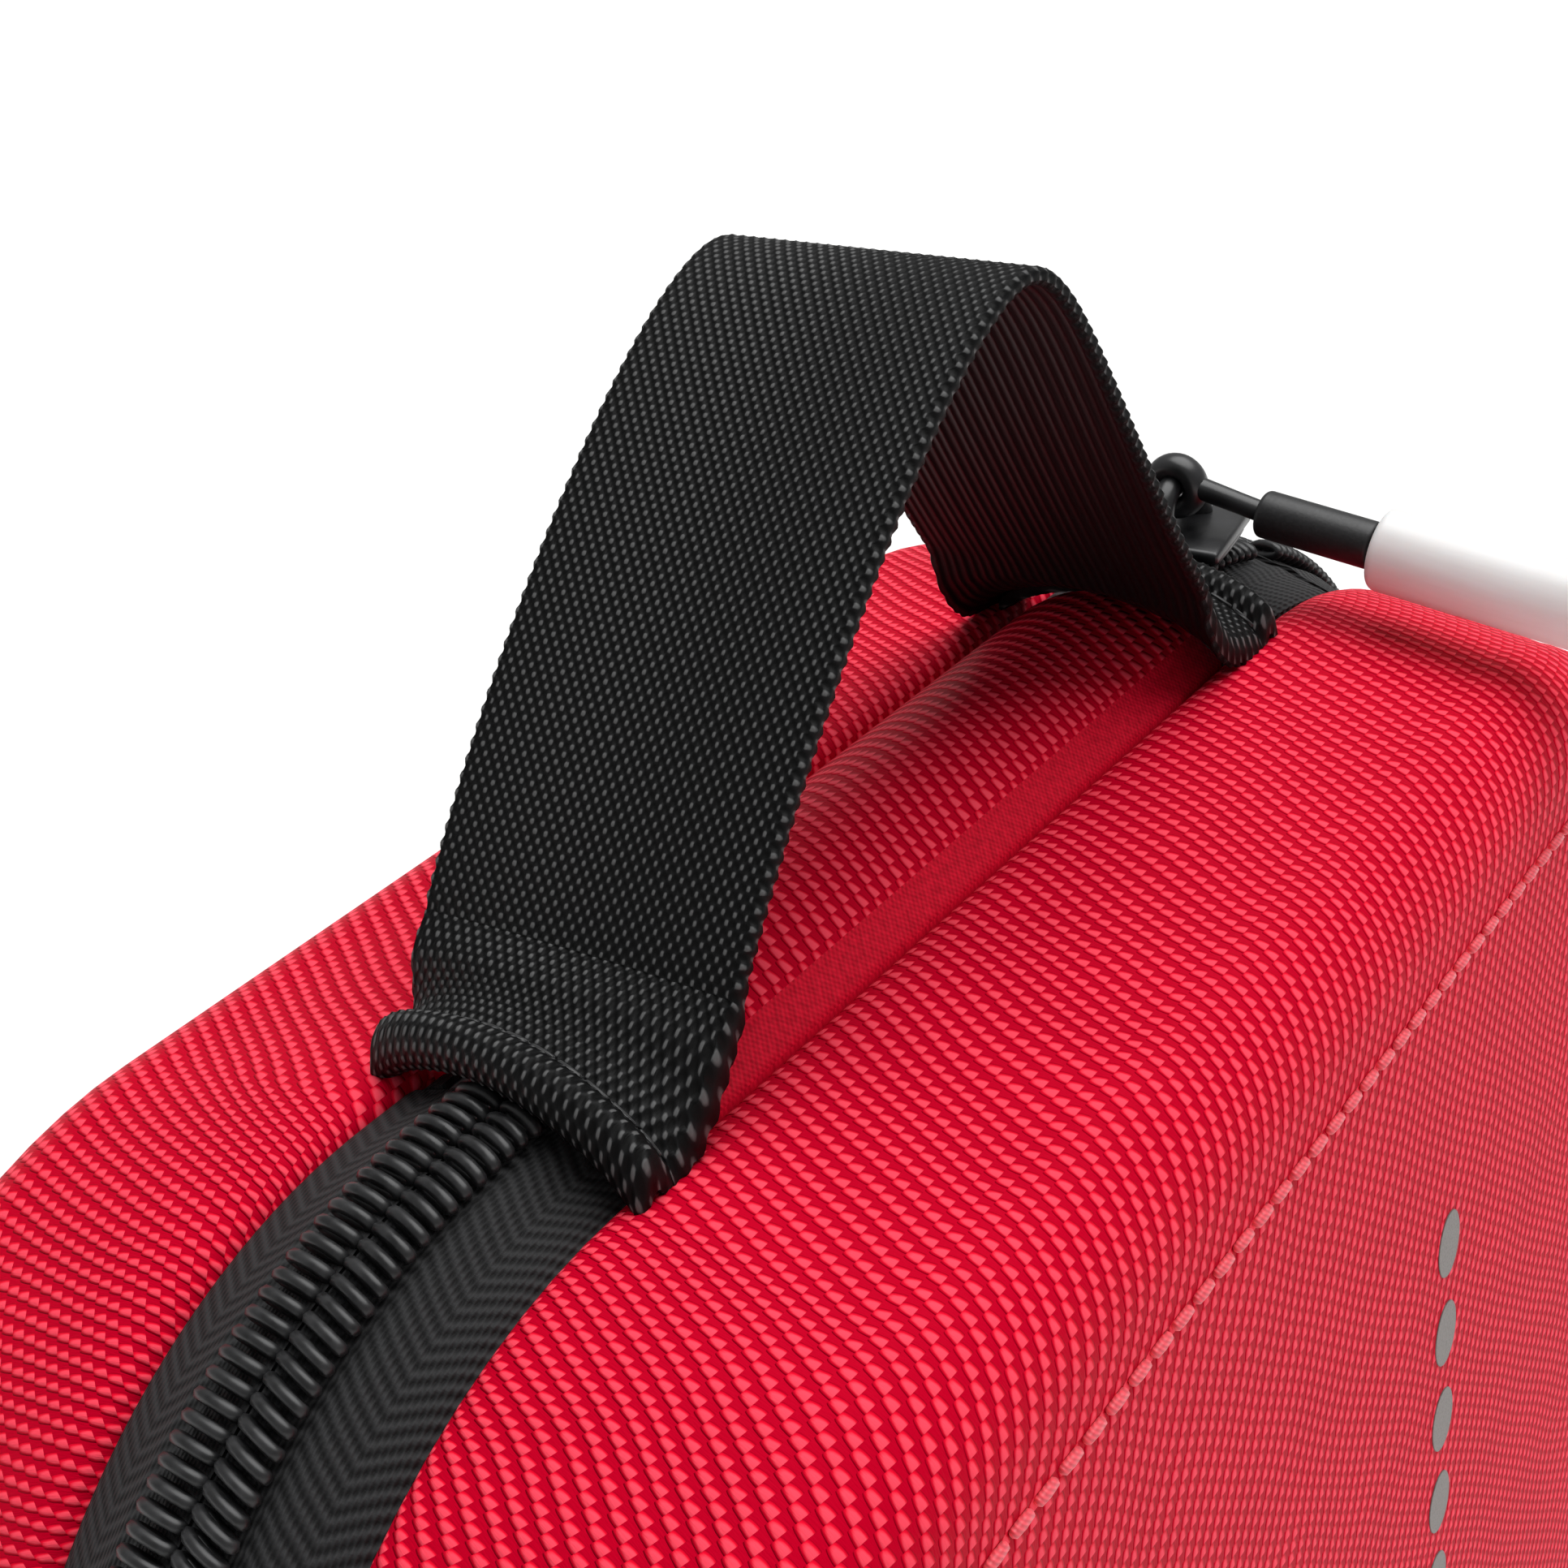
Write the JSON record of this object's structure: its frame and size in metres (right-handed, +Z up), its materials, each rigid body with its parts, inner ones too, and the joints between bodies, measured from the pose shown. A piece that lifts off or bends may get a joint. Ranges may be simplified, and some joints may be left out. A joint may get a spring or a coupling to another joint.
{
  "type": "fire blanket in carry case",
  "caption": "Folded fire blanket in a zipped, semi-rigid fabric-covered carry case with a hinged front shell, a webbing handle and a zip slider with a sleeved puller.",
  "frame": {"origin": "middle of the whole object's footprint on the surface that it stands on; the zip's plane is at y = 5.45 mm, because the puller overhangs the front", "axes": "+X along the top from the near foot of the handle to the slider, +Y from the front shell to the rear shell, +Z up"},
  "size_m": [0.2094, 0.0969, 0.3101],
  "materials": {
    "red_shell": "ballistic nylon, woven, slight sheen",
    "webbing": "woven nylon webbing",
    "black_tape": "woven polyester tape",
    "zip_coil": "nylon monofilament coil",
    "lining": "knitted polyester lining",
    "black_metal": "satin black paint",
    "ferrule": "satin black",
    "sleeve": "white silicone tube",
    "glass_cloth": "coated woven glass cloth",
    "elastic": "woven elastic"
  },
  "bodies": {
    "rear_half": {"rear_shell": "red_shell", "rear_lining": "lining", "rear_binding": "black_tape", "rear_zip_tape": "black_tape", "rear_zip_coil": "zip_coil", "blanket": "glass_cloth", "pull_tape_left": "webbing", "pull_tape_right": "webbing", "elastic_band_lower": "elastic", "elastic_band_upper": "elastic"},
    "spine": {"spine_panel": "red_shell", "spine_lining": "lining", "far_zip_end": "black_tape", "near_strap_foot": "webbing", "far_strap_foot": "webbing", "near_bar_tack": "black_tape", "far_bar_tack": "black_tape"},
    "front_half": {"front_shell": "red_shell", "front_lining": "lining", "front_binding": "black_tape", "front_zip_tape": "black_tape", "front_zip_coil": "zip_coil"},
    "handle": {"handle_strap": "webbing"},
    "slider": {"slider_body": "black_metal", "slider_bridge": "black_metal"},
    "hook": {"puller_hook": "black_metal"},
    "puller": {"puller_ferrule": "ferrule", "puller_sleeve": "sleeve", "puller_core": "ferrule"}
  },
  "joints": [
    {"name": "rear_fold", "type": "hinge", "parent": "rear_half", "child": "spine", "pos_m": [0, 0.02075, 0.261], "axis": [-1, 0, 0], "range_deg": [0, 90]},
    {"name": "front_fold", "type": "hinge", "parent": "spine", "child": "front_half", "pos_m": [0, -0.00985, 0.261], "axis": [-1, 0, 0], "range_deg": [0, 90]},
    {"name": "handle_tilt", "type": "hinge", "parent": "spine", "child": "handle", "pos_m": [0, 0.00545, 0.2686], "axis": [1, 0, 0], "range_deg": [-30, 0], "stiffness_Nm_per_rad": 0.05},
    {"name": "slider_travel", "type": "slide", "parent": "spine", "child": "slider", "axis": [1, 0, 0], "range_m": [0, 0.006]},
    {"name": "puller_lift", "type": "hinge", "parent": "slider", "child": "hook", "pos_m": [0.0585, 0.00545, 0.2706], "axis": [-1, 0, 0], "range_deg": [0, 90]},
    {"name": "puller_bend", "type": "hinge", "parent": "hook", "child": "puller", "pos_m": [0.0585, -0.00155, 0.2681], "axis": [1, 0, 0], "range_deg": [-100, 0]}
  ],
  "couplings": [
    {"joint": "puller_lift", "follows": "front_fold", "ratio": 1}
  ]
}
